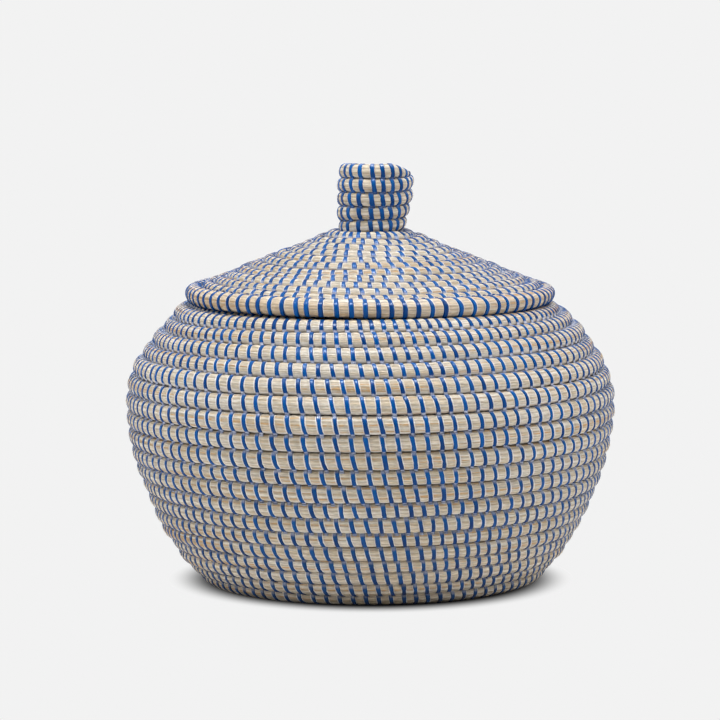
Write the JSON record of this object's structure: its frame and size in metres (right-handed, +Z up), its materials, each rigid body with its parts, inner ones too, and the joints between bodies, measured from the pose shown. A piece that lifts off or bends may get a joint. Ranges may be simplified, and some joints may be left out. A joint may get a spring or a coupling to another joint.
{
  "type": "lidded coiled seagrass basket",
  "caption": "Round-bellied basket coiled from one seagrass bundle and stitched with thin strips, with a lift-off shallow coned lid, a locating ring under it and a small coiled knob.",
  "frame": {"origin": "centre of the overall box at the bottom, on the ground under the floor coil", "axes": "+Z up along the basket's round axis, -Y towards the viewer of the picture, +X to the viewer's right"},
  "size_m": [0.2766, 0.2765, 0.2338],
  "materials": {
    "seagrass": "matte",
    "seagrass_rim": "matte",
    "stitching_strip": "satin"
  },
  "bodies": {
    "basket": {"base_coil": "seagrass", "lower_wall_coil": "seagrass", "belly_coil": "seagrass", "shoulder_coil": "seagrass"},
    "lid": {"lid_coil": "seagrass", "lid_rim_coil": "seagrass_rim", "locating_ring_coil": "seagrass", "knob_coil": "seagrass"}
  },
  "joints": [
    {"name": "lid_lift", "type": "slide", "parent": "basket", "child": "lid", "axis": [0, 0, 1], "range_m": [0, 0.1]}
  ]
}
